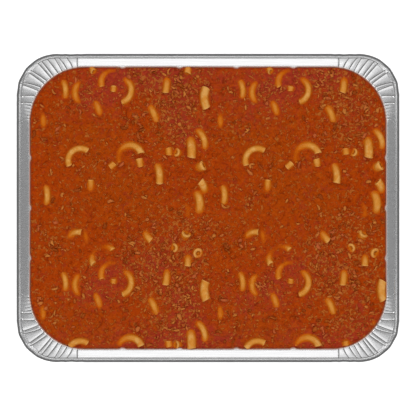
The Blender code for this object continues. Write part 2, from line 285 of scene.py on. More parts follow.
def outline(turn_place, side_place, is_corner, is_long, inset, radius):
    """Points of a quadrant and their outward directions, for all levels (rows) at once.

    Along a side a station keeps its place. Round a corner it goes its share of the way along
    a straight lead, an arc and a straight tail: x = corner + lead + r sin(turn), y likewise.
    """
    half_length = RIM_LENGTH / 2 - inset
    half_width = RIM_WIDTH / 2 - inset
    lead = half_length - radius - CORNER_X
    tail = half_width - radius - CORNER_Y
    arc = radius * math.pi / 2
    gone = turn_place * (lead + arc + tail)
    turn = np.clip((gone - lead) / radius, 0, math.pi / 2)
    turn = np.where(is_corner, turn, np.where(is_long, 0, math.pi / 2))
    corner_x = CORNER_X + np.minimum(gone, lead) + radius * np.sin(turn)
    corner_y = half_width - radius + radius * np.cos(turn) - np.maximum(gone - lead - arc, 0)
    x = np.where(is_corner, corner_x, np.where(is_long, side_place, half_length))
    y = np.where(is_corner, corner_y, np.where(is_long, half_width, side_place))
    return x, y, np.sin(turn), np.cos(turn)


# %% [markdown]
# ## Pleats and ribs
# A flat sheet pressed into a tray has too much foil at the corners, and it gathers in pleats.
# Each pleat is a flat facet with a thin, sharp crease at its side. The creases fan out: their
# gaps at the food's edge and at the rim's groove differ, so both are given, and a crease runs
# straight between its two places. Near the short side only stubs of pleats are left.

# %% Where the creases run
FACETS_AT_FOOD = (6.4, 4.1, 4.8, 4.1, 3.8, 4.6, 2.4, 4.2, 3.2, 3.9, 3.5, 5.1, 6.2)
FACETS_AT_FOOD += (2.4, 2.6, 2.6, 2.6, 2.8)
FACETS_AT_RIM = (6.6, 8.7, 6.8, 3.8, 6.0, 5.0, 3.6, 8.7, 2.6, 9.9, 2.0, 10.2, 5.3)
FACETS_AT_RIM += (3.0, 3.2, 3.2, 3.2, 3.2)
FACET_DEPTHS = (0.3, 0.25, 0.4, 0.9, 0.35, 0.3, 0.3, 0.25, 0.5, 0.3, 0.9, 0.35, 0.5)
FACET_DEPTHS += (0.5, 0.5, 0.5, 0.4, 0.3)
FOOD_PATH, RIM_PATH = 72.3, 95.6
STUB_COUNT, STUB_FADE = 5, 1.6
CREASE_SPREAD = 0.42
SPRING_BACK = 0.6
FLATNESS = 1.2

creases_at_food = np.cumsum(FACETS_AT_FOOD) / FOOD_PATH
creases_at_rim = np.cumsum(FACETS_AT_RIM) / RIM_PATH
crease_stub = np.arange(len(creases_at_food)) >= len(creases_at_food) - STUB_COUNT


def flange_share(inset):
    """0 at the food's edge and 1 at the rim's groove, evenly between."""
    return np.clip((FLANGE_END - inset) / (FLANGE_END - FLANGE_START), 0, 1)


def pleat_shape(turn_place, inset):
    """How far each point is folded down, from 0 to 1, and how deep in a crease it is.

    Across a facet the fold falls slowly, and at the crease it springs back. The crease itself
    is a narrow groove, exp(-(distance / 0.42 mm)^2).
    """
    over_flange = flange_share(inset)
    path = FOOD_PATH + (RIM_PATH - FOOD_PATH) * over_flange
    fold = np.zeros(np.broadcast(turn_place, inset).shape)
    groove = np.zeros_like(fold)
    start = np.zeros_like(fold)
    for food, rim, stub, depth in zip(creases_at_food, creases_at_rim, crease_stub, FACET_DEPTHS):
        crease = food + (rim - food) * over_flange
        reach = np.clip(1 - over_flange * STUB_FADE, 0, 1) if stub else np.ones_like(over_flange)
        within = (turn_place > start) & (turn_place <= crease)
        share = (turn_place - start) / np.maximum(crease - start, 1e-6)
        width = (crease - start) * path
        spring_back = smooth_step(0, SPRING_BACK, (crease - turn_place) * path)
        facet = depth * share * spring_back * reach * smooth_step(0, 3, width)
        fold = np.where(within, facet, fold)
        away = (turn_place - crease) * path
        groove = np.maximum(groove, np.exp(-((away / CREASE_SPREAD) ** 2)) * reach)
        start = crease
    return fold, groove


def flattening(turn_place):
    """The rim is straight between creases: flatness times depth w^2 / 8R times 4 s (1 - s)."""
    knots = np.concatenate([[0], creases_at_rim, [1]])
    facet = np.clip(np.searchsorted(knots, turn_place, side="right") - 1, 0, len(knots) - 2)
    width = knots[facet + 1] - knots[facet]
    share = (turn_place - knots[facet]) / width
    return FLATNESS * (width * RIM_PATH) ** 2 / (2 * RIM_CORNER_RADIUS) * share * (1 - share)


def rib_shape(place, centres):
    """Height from 0 to 1 of the upright ribs: one half wave of a squared cosine for each."""
    away = np.abs(place[..., None] - np.array(centres))
    return np.where(away < RIB_WIDTH / 2, np.cos(math.pi * away / RIB_WIDTH) ** 2, 0).max(axis=-1)


# %% [markdown]
# ## The tray's section
# The section runs once round the foil: out along the underside, up the wall, under the flange,
# round the rolled bead, back over the flange and down inside. Each stretch is a straight line
# or a quadratic Bezier bend. Carried round the plan, the section makes a closed ring, so the
# foil is a real skin with two faces, as the real sheet is.


# %% Stretches of the section
def bend(start, corner, end, count):
    """Quadratic Bezier curve: (1-t)^2 start + 2t(1-t) corner + t^2 end, without its last point."""
    t = np.linspace(0, 1, count, endpoint=False)[:, None]
    return (1 - t) ** 2 * np.array(start) + 2 * t * (1 - t) * np.array(corner) + t**2 * np.array(end)


def straight(start, end, count):
    """Evenly spaced points from start up to, but not with, end."""
    t = np.linspace(0, 1, count, endpoint=False)[:, None]
    return np.array(start) * (1 - t) + np.array(end) * t


BEAD_RADIUS = 1.6
BEAD_START, BEAD_END = -155, 100


def bead(count):
    """The rolled edge: a circle from under the flange, round the outside, to the groove."""
    angle = np.radians(np.linspace(BEAD_START, BEAD_END, count))
    inset = BEAD_RADIUS - BEAD_RADIUS * np.cos(angle)
    return np.stack([inset, TRAY_HEIGHT - BEAD_RADIUS + BEAD_RADIUS * np.sin(angle)], axis=1)


groove_z = FLANGE_Z - FLANGE_RISE
under_z = FLANGE_Z - FOIL
outer_section = np.concatenate(
    [
        straight((FLOOR_INSET, 0.0), (28.6, 0.0), 2),
        bend((28.6, 0.0), (26.2, 0.0), (24.4, 4.2), 6),
        straight((24.4, 4.2), (11.1, 40.6), 12),
        bend((11.1, 40.6), (10.7, under_z), (9.9, under_z - 0.05), 4),
        straight((9.9, under_z - 0.05), (3.5, groove_z - FOIL), 5),
    ]
)
inner_section = np.concatenate(
    [
        bead(15),
        bend((2.0, TRAY_HEIGHT - 0.03), (2.6, TRAY_HEIGHT - 0.1), (3.15, TRAY_HEIGHT - 0.22), 3),
        straight((3.15, TRAY_HEIGHT - 0.22), (3.7, groove_z), 2),
        straight((3.7, groove_z), (10.1, FLANGE_Z - 0.03), 8),
        bend((10.1, FLANGE_Z - 0.03), (11.0, FLANGE_Z + 0.03), (11.3, 41.0), 7),
        straight((11.3, 41.0), (24.8, 4.4), 12),
        bend((24.8, 4.4), (26.4, FOIL), (29.0, FOIL), 6),
        straight((29.0, FOIL), (FLOOR_INSET, FOIL), 2),
        np.array([(FLOOR_INSET, FOIL)]),
    ]
)
section = np.concatenate([outer_section, inner_section])
print("section has", len(section), "points")

# %% [markdown]
# ## The foil rim and walls
# Now the section meets the plan. On the walls a rib pushes the foil inward and a pleat pushes it
# outward; on the flange a pleat can only sink. How strongly each acts is a function of the inset
# and the height, so the pleats fade out towards the bottom, as they do on a pressed tray. Stations
# stand close together at each crease, and they follow it from the food's edge to the rim.

# %% Stations round one quadrant
STATION_GAP, FACET_STATION_GAP = 2.0, 1.9
CREASE_STATIONS = (-0.8, -0.42, -0.12, 0.18, 0.5)
PAST_CREASE, CREASE_ROOM = 0.65, 1.65

long_places = np.arange(STATION_GAP / 2, CORNER_X, STATION_GAP)
short_places = np.arange(STATION_GAP / 2, CORNER_Y, STATION_GAP)[::-1]
inset, height = section[:, :1], section[:, 1:]
over_flange = flange_share(inset)
path = FOOD_PATH + (RIM_PATH - FOOD_PATH) * over_flange
corner_stations = [0 * inset]
start = 0 * inset
for food, rim in [*zip(creases_at_food, creases_at_rim), (1.0, 1.0)]:
    crease = food + (rim - food) * over_flange
    width = (crease - start) * path
    for share in np.linspace(0, 1, 2 + int(np.median(width) / FACET_STATION_GAP))[1:-1]:
        corner_stations.append(start + (PAST_CREASE + share * (width - CREASE_ROOM)) / path)
    corner_stations += [crease + away / path for away in CREASE_STATIONS] if food < 1 else [crease]
    start = crease
turn_place = np.concatenate(corner_stations, axis=1)
turn_count = turn_place.shape[1]
count = len(long_places) + turn_count + len(short_places)
is_long = np.arange(count) < len(long_places)
is_corner = ~is_long & (np.arange(count) < len(long_places) + turn_count)
turn_place = np.pad(turn_place, ((0, 0), (len(long_places), len(short_places))))
side_place = np.concatenate([long_places, np.zeros(turn_count), short_places])
print("stations in a quadrant:", count)

# %% The pleated and ribbed skin of one quadrant
WALL_FOLD, WALL_GROOVE = 0.4, 0.25
FLANGE_FOLD, FLANGE_GROOVE = 0.3, 0.2
KINK_DEPTH = 0.5
FLANGE_RISES, FLANGE_FALLS = (3.2, 3.8), (11.4, 10.4)

on_bead = inset < FLANGE_START
inner_radius = RIM_LENGTH / 2 - FLANGE_END - CORNER_X
outer_radius = RIM_CORNER_RADIUS - FLANGE_START
across_flange = inner_radius + (outer_radius - inner_radius) * over_flange
level_radius = np.where(on_bead, RIM_CORNER_RADIUS - inset, across_flange)
level_radius = np.where(inset > FLANGE_END, RIM_LENGTH / 2 - inset - CORNER_X, level_radius)
x, y, out_x, out_y = outline(turn_place, side_place, is_corner, is_long, inset, level_radius)

fold, groove = pleat_shape(turn_place, inset + 0 * turn_place)
fold = fold * is_corner
groove = groove * is_corner
side_ribs = rib_shape(side_place, LONG_SIDE_RIBS), rib_shape(side_place, SHORT_SIDE_RIBS)
rib = np.where(is_corner, 0, np.where(is_long, *side_ribs))

outside = (np.arange(len(section)) < len(outer_section))[:, None]
on_wall = smooth_step(9.9, 11.4, inset) * smooth_step(FLOOR_INSET, WALL_FOOT_INSET, inset)
wall_fade = 0.2 + 0.8 * smooth_step(WALL_FOOT_Z, WALL_TOP_Z, height)
on_flange = smooth_step(*FLANGE_FALLS, inset) * smooth_step(*FLANGE_RISES, inset)
outward = on_wall * wall_fade * (WALL_FOLD * fold + WALL_GROOVE * groove)
outward = outward - on_wall * RIB_DEPTH * rib
sink = on_flange * (FLANGE_FOLD * fold + FLANGE_GROOVE * groove)
kink = np.where(on_bead, KINK_DEPTH * out_x * out_y * groove, 0)
groove_shift = 0.7 * out_x**2 * np.exp(-((inset - 3.5) ** 2)) * ~outside
facets = flattening(turn_place) * is_corner * smooth_step(5, 1, inset)
outward = outward - kink - groove_shift - facets
quadrant = [x + out_x * outward, y + out_y * outward, height - sink - 0.5 * kink]
quadrant = np.stack(quadrant, axis=-1)
print("deepest pleat", round(float(sink.max()), 2), "mm")

# %% [markdown]
# ## Where the foil looks different
# One sheet of foil shows several finishes, and some are painted light. Creases and the groove behind
# the bead get painted shade, and the bead's outer edge a painted dark reflection. Food leaves a film
# on the shoulder, a red smear low down with a pale painted highlight above it. The outer side is
# matt, and the corner pleats get painted shade by the way they face. Each is a band, a number from 0
# to 1 at every point, which the material reads as an attribute. Along is the way round the tray in
# millimetres, so that fine upright marks can follow the wall. All bands are made for one quadrant
# and mirrored.

# %% Bands for the finish
BEAD_TURN_Z = (41.8, 42.3)
FILM_INSETS, FILM_HEIGHTS = (10.35, 11.0), (38.0, 39.0)
GROOVE_RISES, GROOVE_FALLS = (2.6, 3.0), (4.3, 3.8)
PLEATS_FADE = (12.5, 11.5)
SHADED_TURN, SHADED_SPREAD = 58, 14

# Painted dark reflection: the bead's outer top edge gets a dark grey colour and little metal, in
# place of what it would mirror.
bead_dark_reflection = np.clip(2.3 - inset + 0.15 * out_x**2, 0, 1) * smooth_step(*BEAD_TURN_Z, height)
below_bead = smooth_step(*BEAD_TURN_Z[::-1], height) * (inset < 1.7)
# The shoulder's film: a red smear of food low down, and a pale painted highlight above it.
shoulder = smooth_step(*FILM_INSETS, inset) * smooth_step(*FILM_HEIGHTS, height) * ~outside
# Painted shade: the groove behind the bead and the creases of the pleats are made darker and duller
# by this band.
groove_shade = smooth_step(*GROOVE_RISES, inset) * smooth_step(*GROOVE_FALLS, inset) * ~outside
groove_shade = groove_shade * (0.36 + 0.18 * out_y**2)
crease = np.maximum(groove * np.maximum(on_flange, on_wall * wall_fade), groove_shade)

first_crease = creases_at_food[0] + (creases_at_rim[0] - creases_at_food[0]) * over_flange
past_first = is_corner * (turn_place >= first_crease) * smooth_step(1.0, 0.88, turn_place)
pleated = past_first * ~outside * smooth_step(*FLANGE_RISES, inset)
pleated = pleated * smooth_step(*PLEATS_FADE, inset)
# Painted shade on the corner pleats: by the way each pleat faces and how near the rim or the food it
# lies, it gets less metal and a grey colour.
turned = np.degrees(np.arctan2(out_x, out_y))
shaded_turn = np.exp(-(((turned - SHADED_TURN) / SHADED_SPREAD) ** 2))
near_rim, near_food = smooth_step(8.5, 5.0, inset), smooth_step(7.3, 9.8, inset)
pleat_shade_matt = pleated * (0.45 * out_y**2 * near_rim + 0.15 * shaded_turn)
worn = pleated * (1 - shaded_turn) * (0.1 * out_x**4 + (0.24 + 0.2 * out_x**4) * near_food)
matt_and_shade = np.maximum(np.maximum(outside, below_bead), pleat_shade_matt)

along = np.where(is_long, side_place, CORNER_X + turn_place * FOOD_PATH)
along = np.where(is_corner | is_long, along, CORNER_X + FOOD_PATH + CORNER_Y - side_place)
bands = {"crease": crease, "edge": bead_dark_reflection, "film_and_highlight": shoulder, "matt_and_shade": matt_and_shade}
bands.update({"worn": worn, "along": along})

# %% All four quadrants
mirrored = [
    quadrant[:, ::-1],
    quadrant * (-1, 1, 1),
    quadrant[:, ::-1] * (-1, -1, 1),
    quadrant * (1, -1, 1),
]
skin_points = np.concatenate(mirrored, axis=1)
shades = {}
for name, band in bands.items():
    band = np.broadcast_to(band, quadrant.shape[:2])
    shades[name] = np.concatenate([band[:, ::-1], band, band[:, ::-1], band], axis=1)

faces = grid_faces(*skin_points.shape[:2], ring_rows=True, ring_columns=True)
skin = add_piece("foil_rim_and_walls", skin_points, [faces], **shades)
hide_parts("foil_tray")

# %% [markdown]
# ## The foil floor
# The floor carries raised ribs that keep it stiff, pressed up from below. A height field is the
# natural way: a grid of rows whose ends lie on the floor's outline, lifted where a rib passes.
# The same grid, mapped onto another outline, makes the sauce later.

# %% A grid that fills the rounded outline
FLOOR_RIBS_X = (20.0, 60.0, 100.0)
FLOOR_RIB_LENGTH, FLOOR_RIB_WIDTH, FLOOR_RIB_HEIGHT = 150.0, 7.0, 1.2
ROW_CROWDING = 0.82


def filled_outline(inset, columns, rows):
    """Rows of points across the tray at an inset: x = u times the outline's half length at y.

    The rows crowd towards the long sides, as the sines of evenly spaced angles do.
    """
    half_length = RIM_LENGTH / 2 - inset
    half_width = RIM_WIDTH / 2 - inset
    radius = half_length - CORNER_X
    v = np.sin(np.linspace(-1, 1, rows)[:, None] * math.pi / 2 * ROW_CROWDING)
    v = v / math.sin(math.pi / 2 * ROW_CROWDING)
    u = np.linspace(-1, 1, columns)[None, :]
    y = v * half_width
    past = np.maximum(np.abs(y) - CORNER_Y, 0)
    reach = CORNER_X + np.sqrt(np.maximum(radius**2 - past**2, 0))
    y = np.broadcast_to(y, (rows, columns)).copy()
    return u * reach, y, u, v


def floor_ribs(x, y):
    """Height of the ribs: a flat top with sloping sides, ending round at both ends."""
    past_end = np.maximum(np.abs(y) - (FLOOR_RIB_LENGTH - FLOOR_RIB_WIDTH) / 2, 0)
    away = np.min([np.hypot(np.abs(x) - centre, past_end) for centre in FLOOR_RIBS_X], axis=0)
    return FLOOR_RIB_HEIGHT * smooth_step(FLOOR_RIB_WIDTH / 2, FLOOR_RIB_WIDTH / 4, away)


def closed_pair(top, bottom):
    """Joins two grids of one size, one over the other, along their borders into one closed skin."""
    rows, columns = top.shape[:2]
    border = grid_border(rows, columns)
    upper = grid_faces(rows, columns)
    lower = upper[:, ::-1] + rows * columns
    after = np.roll(border, -1)
    wall = np.stack([border + rows * columns, after + rows * columns, after, border], axis=1)
    return np.concatenate([top.reshape(-1, 3), bottom.reshape(-1, 3)]), [upper, lower, wall]


x, y = filled_outline(FLOOR_INSET, 181, 121)[:2]
raised = floor_ribs(x, y)
floor_top = np.stack([x, y, FOIL + raised], axis=-1)
floor_bottom = np.stack([x, y, raised], axis=-1)
points, faces = closed_pair(floor_top, floor_bottom)
underside = np.arange(len(points)) >= len(points) // 2
plain = np.zeros(len(points))
floor_shades = {name: plain for name in ("crease", "edge", "film_and_highlight", "worn")}
floor_shades.update({"matt_and_shade": underside, "along": points[:, 0]})
tray_floor = add_piece("foil_floor", points, faces, **floor_shades)

# %% [markdown]
# ## The foil's finish
# Aluminium foil is a bright metal, with fine marks where it was rolled and soft dents where it was
# handled. Creases and the groove behind the bead get painted shade: a darker, duller colour. Bare
# metal mirrors the room, so where the foil is matt, under a film, at the bead's edge or on pleats
# with painted shade, its metallic share falls, and a plain colour shows through. The bead's edge
# is painted dark as a dark reflection, and the film's pale part is a painted highlight over a red
# smear. The matt side has streaks that run up and down the wall, from a noise with one dimension,
# which is read along the tray. The lights do the rest.

# %% Bright foil
FOIL_GREY, FOIL_WHITE = (0.84, 0.84, 0.845), (0.92, 0.92, 0.925)
MATT_GREY, MATT_WHITE = (0.47, 0.47, 0.475), (0.6, 0.6, 0.605)
PALE_FILM_AND_HIGHLIGHT, FILM_RED = (0.98, 0.82, 0.76), (0.62, 0.27, 0.11)
CREASE_SHADE_GREY = (0.13, 0.125, 0.12)
EDGE_REFLECTION_GREY = (0.148, 0.148, 0.148)
FILM_TOP_Z, FILM_RED_Z = 42.4, 41.0

foil = Finish("bright foil")
# Painted shade in the creases and in the groove behind the bead: a darker, duller colour.
crease_shade = foil.attribute("crease").step(0.3, 0.66)
# Painted dark reflection on the bead's outer edge.
edge = foil.attribute("edge").step(0.44, 0.56)
# Film on the shoulder: a red smear low down, with a pale painted highlight higher up.
film_and_highlight = foil.attribute("film_and_highlight")
matt_and_shade = foil.attribute("matt_and_shade")
marks = foil.noise(0.5, detail=2.0, stretch=(0.02, 1, 1))
dents = foil.noise(14.0, detail=1.5)
line = {"noise_dimensions": "1D"}
streaks = foil.add("ShaderNodeTexNoise", line, {"W": foil.attribute("along") * 0.4, "Detail": 4.0})
streaks = streaks + (dents - 0.5) * 0.5
matt_side = foil.mix(streaks.step(0.3, 0.7), MATT_GREY, MATT_WHITE)
# Painted shade in the creases of the matt side as well.
matt_side = foil.mix(crease_shade * 0.8, matt_side, CREASE_SHADE_GREY)
height = foil.add("ShaderNodeSeparateXYZ", inputs={0: foil.place}, output="Z") * 1000
smeared = (height + (dents - 0.5) * 0.8).step(FILM_TOP_Z, FILM_RED_Z)
rim_colour = foil.coat(
    foil.mix(marks.step(0.35, 0.65), FOIL_GREY, FOIL_WHITE),
    (crease_shade * 0.95, CREASE_SHADE_GREY),
    (matt_and_shade, matt_side),
    (edge, EDGE_REFLECTION_GREY),
    (film_and_highlight * 0.85, foil.mix(smeared, PALE_FILM_AND_HIGHLIGHT, FILM_RED)),
)
# Painted shade on the pleats lowers the metallic share, as do the matt side, the film and the bead's
# edge.
foil.surface(
    Base_Color=rim_colour,
    Metallic=1 - edge * 0.95 - film_and_highlight * 0.7 - matt_and_shade * 0.45 - foil.attribute("worn"),
    Roughness=0.18 + crease_shade * 0.3 + edge * 0.3 + marks * 0.08 + matt_and_shade * 0.2,
    Specular_IOR_Level=0.1,
    Normal=foil.bump(marks * 0.04 + dents, 0.25, 0.5),
)
for piece in (skin, tray_floor):
    piece.data.materials.append(foil.material)

# %% [markdown]
# ## Elbows of macaroni
# An elbow is a short tube bent to a tight radius. Where it shows, it passes through one point of
# the sauce's surface, so that point, its heading and its lean fix it. Each elbow below was placed
# one by one, in millimetres from the middle of the tray. The meal in the photograph shows the same
# lie again one step further along X and along Y, so the list is laid out again there.

# %% The list of elbows
SAUCE_Z = 39.5
ELBOW_RADIUS = 10.2
REPEAT_X, REPEAT_Y = 150.0, 163.0

FIELDS = "x y heading back ahead lean pitch rise width bend"
Elbow = namedtuple("Elbow", FIELDS, defaults=(ELBOW_RADIUS,))

# Lean 0 bends the elbow flat to the left of its heading, 90 bends it down, and pitch lifts it.
# It bends back and ahead of its point by those degrees. Rise is its axis above the sauce, width
# its thickness and bend the radius of its axis, which is larger for a few straighter ones.
ELBOW_TABLE = (
    # lying flat, so that the whole bend shows
    (-114.6, 48.1, 219.5, 73, 73, 8, 0, 1.0, 5.5),
    (-64.9, 100.0, 90, 76, 76, 21, -7, 0.7, 5.3),
    (-88.0, 113.2, 229, 66, 62, 4, 8, -2.0, 5.2),
    (-69.3, 52.7, 200, 90, 98, -4, -12, -1.5, 6.2),
    (-92.6, 129.0, 208, 77, 95, -28, 0, -4.0, 5.4),
    (-112.8, 97.9, 270, 62, 62, 28, 0, -0.6, 5.0),
    (-113.0, -20.8, 200, 32, 48, 16, -22, 0.0, 5.4),
    (-17.0, -2.4, 95, 35, 45, 4, 0, -3.2, 5.4),
    # arched over, so that the back shows and both ends dip
    (-120.6, 100.8, 97, 45, 45, 62, 0, 0.6, 4.8),
    (-135.9, 11.1, 92, 45, 45, 62, 0, 0.8, 5.2),
    (-34.9, 104.3, 85, 34, 50, 76, -14, 0.0, 5.8),
    (-46.0, 80.5, 114, 40, 42, 75, -4, 0.0, 5.6),
    (-41.1, 29.6, 98, 31, 33, 60, -12, 0.8, 6.2, 15.0),
    (-6.9, 5.1, 97, 56, 56, 60, 0, 0.5, 6.9),
    (-13.9, 50.8, 93, 27, 34, 74, -10, 0.7, 7.4, 16.0),
    (-3.2, 93.1, 272, 24, 24, 24, 0, 0.8, 7.6, 19.0),
    (-3.8, 59.6, 113, 56, 64, 52, -3, 0.8, 5.3),
    (-99.5, 17.0, 86, 55, 38, 84, 28, -1.4, 5.2),
    (-93.1, 84.7, 110, 40, 40, 76, 0, -0.9, 5.2),
    (-17.0, 117.8, 88, 20, 38, 80, -20, 0.0, 5.8),
    (-103.3, -25.3, 100, 45, 45, 70, 6, -2.1, 4.8),
    (-139.5, 74.1, 92, 40, 40, 74, 0, -1.4, 4.8),
    # an open end turned up out of the sauce, or a short piece that lies on it
    (-5.6, 21.6, 128, 90, 6, 50, 12, 1.5, 6.8),
    (-4.6, 35.6, 25, 80, 6, 80, 40, 1.3, 7.8),
    (-57.6, 38.4, 100, 13, 16, 80, 12, -0.1, 5.8),
    (-50.8, -24.9, 308, 60, 20, 70, 14, -0.3, 6.0),
    (-81.0, 36.2, 42, 13, 13, 80, 4, 0.4, 5.4),
    (-79.9, 101.2, 84, 9, 8, 80, 4, -0.1, 4.9),
    (-18.2, -21.4, 62, 74, 0, 74, 42, 1.0, 7.8),
    (-28.9, -33.7, 190, 80, 0, 80, 62, 1.3, 7.2),
    (-8.4, -38.2, 330, 80, 0, 80, 62, 1.5, 8.0),
    (-33.1, 47.8, 96, 11, 12, 80, 0, -0.6, 5.8),
    (-26.9, 47.2, 170, 80, 0, 80, 52, 0.9, 6.8),
)
ELBOWS = [Elbow(*row) for row in ELBOW_TABLE]
print(len(ELBOWS), "elbows in one lie")


# %% [markdown]
# ## Room inside the tray
# Food never goes through foil. For any point, the distance to the wall at its height follows
# from the outline, and a point that is too near is pushed straight back inside.


# %% The distance to the wall
FOIL_GAP = 0.15


def wall_inset(z):
    """The inset of the wall's inner face at a height: a straight slope from foot to shoulder."""
    share = np.clip((WALL_TOP_Z - z) / (WALL_TOP_Z - WALL_FOOT_Z), 0, 1)
    return WALL_TOP_INSET + 0.08 + share * (WALL_FOOT_INSET - WALL_TOP_INSET)


def room_in_tray(x, y, z):
    """Distance in plan to the wall at that height, and the outward direction there."""
    half_length = RIM_LENGTH / 2 - wall_inset(z)
    half_width = RIM_WIDTH / 2 - wall_inset(z)
    past_x = np.maximum(np.abs(x) - CORNER_X, 0)
    past_y = np.maximum(np.abs(y) - CORNER_Y, 0)
    past = np.hypot(past_x, past_y)
    in_corner = (past_x > 0) & (past_y > 0)
    short_room = half_length - np.abs(x) - RIB_DEPTH * rib_shape(np.abs(y), SHORT_SIDE_RIBS)
    long_room = half_width - np.abs(y) - RIB_DEPTH * rib_shape(np.abs(x), LONG_SIDE_RIBS)
    side_room = np.minimum(short_room, long_room)
    to_short_side = short_room < long_room
    room = np.where(in_corner, half_length - CORNER_X - past, side_room)
    safe = np.maximum(past, 1e-6)
    out_x = np.where(in_corner, past_x / safe, to_short_side) * np.sign(x)
    out_y = np.where(in_corner, past_y / safe, ~to_short_side) * np.sign(y)
    return room, out_x, out_y


def keep_inside(points, gap):
    """Moves points that are within a gap of the wall straight back from it."""
    room, out_x, out_y = room_in_tray(points[..., 0], points[..., 1], points[..., 2])
    excess = np.maximum(gap - room, 0)
    too_high = np.maximum(points[..., 2] - food_high[2], 0)
    return points - np.stack([out_x * excess, out_y * excess, too_high], axis=-1)


# %% The centre line of an elbow
def elbow_axis(elbow, turn):
    """Places and directions along the bend, for an array of turns in radians.

    place = point + R (sin(turn) along + (1 - cos(turn)) inward), where along is the heading,
    pitched up, and inward is the side to which the elbow bends.
    """
    heading, pitch, lean = np.radians([elbow.heading, elbow.pitch, elbow.lean])
    level = np.array([np.cos(heading), np.sin(heading), 0])
    left = np.array([-np.sin(heading), np.cos(heading), 0])
    up = np.array([0, 0, 1])
    along = level * np.cos(pitch) + up * np.sin(pitch)
    above = up * np.cos(pitch) - level * np.sin(pitch)
    inward = left * np.cos(lean) - above * np.sin(lean)
    middle = np.array([elbow.x, elbow.y, SAUCE_Z + elbow.rise])
    sine, cosine = np.sin(turn)[:, None], np.cos(turn)[:, None]
    place = middle + elbow.bend * (sine * along + (1 - cosine) * inward)
    return place, cosine * along + sine * inward, np.cross(along, inward)


lie = []
for across in (-1, 0, 1):
    for down in (-1, 0, 1):
        for elbow in ELBOWS:
            moved = elbow._replace(x=elbow.x + across * REPEAT_X, y=elbow.y + down * REPEAT_Y)
            turn = np.radians(np.linspace(-elbow.back, elbow.ahead, 41))
            place = elbow_axis(moved, turn)[0]
            turn = turn[room_in_tray(*place.T)[0] > 0]
            if len(turn) > 4:
                lie.append((moved, turn[0], turn[-1]))
print(len(lie), "elbows in the tray")

# %% [markdown]
# ## The skin of a tube
# A tube's skin is a closed loop carried round an axis: along the outside, over the lip, back
# through the bore and over the other lip. That makes a torus, with no cap to fake and a real
# hole to look into. The lips are a little flared and cut slightly askew, as pasta is. Three
# attributes tell the finish where a point is: in the bore, on the lip, and how near the crown.

# %% Tubes
ROUND_COUNT = 20
OUTER_COUNT, BORE_COUNT, LIP_COUNT = 18, 6, 5
BORE_SHARE = 0.42
LIP_BULGE, FLARE, WAVINESS, ASKEW, SQUASH = 0.45, 0.07, 0.025, 0.16, 0.95


def tube(elbow, start, end, dice):
    """Points of one elbow, as rows along the closed loop and columns round the tube."""
    radius = elbow.width / 2
    bore = radius * BORE_SHARE
    wall = (radius - bore) / 2
    lip = np.linspace(0, math.pi, LIP_COUNT + 2)[1:-1]
    lip_turn = np.sin(lip) * wall * LIP_BULGE / elbow.bend
    lip_size = (radius + bore) / 2 + np.cos(lip) * wall
    turn = np.concatenate(
        [
            np.linspace(start, end, OUTER_COUNT),
            end + lip_turn,
            np.linspace(end, start, BORE_COUNT),
            start - lip_turn,
        ]
    )
    size = np.concatenate(
        [np.full(OUTER_COUNT, radius), lip_size, np.full(BORE_COUNT, bore), lip_size[::-1]]
    )
    share = (turn - start) / (end - start)
    waves = WAVINESS * np.sin(5 * share + dice.uniform(0, 6))
    flare = 1 + FLARE * np.abs(2 * share - 1) ** 6 + waves
    round_turn = np.linspace(0, 2 * math.pi, ROUND_COUNT, endpoint=False)
    askew = dice.uniform(-ASKEW, ASKEW, 2)
    slant = askew[0] * np.cos(round_turn)[None, :] + askew[1] * np.sin(round_turn)[None, :]
    place, along, side = elbow_axis(elbow, turn)
    across = np.cross(along, side)
    wide = side * (size * flare)[:, None]
    tall = across * (size * flare)[:, None] * SQUASH
    points = (
        place[:, None]
        + wide[:, None] * np.cos(round_turn)[None, :, None]
        + tall[:, None] * np.sin(round_turn)[None, :, None]
    )
    end_pull = (2 * share - 1) * np.abs(2 * share - 1) ** 2
    points = points + along[:, None] * (slant * end_pull[:, None] * radius)[..., None]
    crown = (points - place[:, None])[..., 2] / radius
    return np.concatenate([keep_inside(points, FOIL_GAP), crown[..., None]], axis=-1)


dice = np.random.default_rng(5)
loop_count = OUTER_COUNT + BORE_COUNT + 2 * LIP_COUNT
tube_points = np.stack([tube(elbow, start, end, dice) for elbow, start, end in lie])
one_tube = grid_faces(loop_count, ROUND_COUNT, ring_rows=True, ring_columns=True)
offsets = np.arange(len(lie))[:, None, None] * loop_count * ROUND_COUNT
tube_faces = (one_tube[None] + offsets).reshape(-1, 4)
in_bore = np.zeros((len(lie), loop_count, ROUND_COUNT))
in_bore[:, OUTER_COUNT + LIP_COUNT : OUTER_COUNT + LIP_COUNT + BORE_COUNT] = 1
on_lip = np.zeros_like(in_bore)
on_lip[:, [0, *range(OUTER_COUNT - 1, OUTER_COUNT + LIP_COUNT), *range(-LIP_COUNT, 0)]] = 1
crown = tube_points[..., 3]
tube_points = tube_points[..., :3]
macaroni = add_piece("macaroni", tube_points, [tube_faces], bore=in_bore, lip=on_lip, crown=crown)

# %% [markdown]
# ## The level of the sauce
# The sauce is nearly level, with low lumps from the beef beneath. It climbs a little at the foil
# and up the side of every elbow. Its height is one function of place, so that the crumbs can be
# set into it before the sauce itself is made.


# %% How near the pasta is
FAR = 99.0
CLEAR_OF_PASTA = 9.0


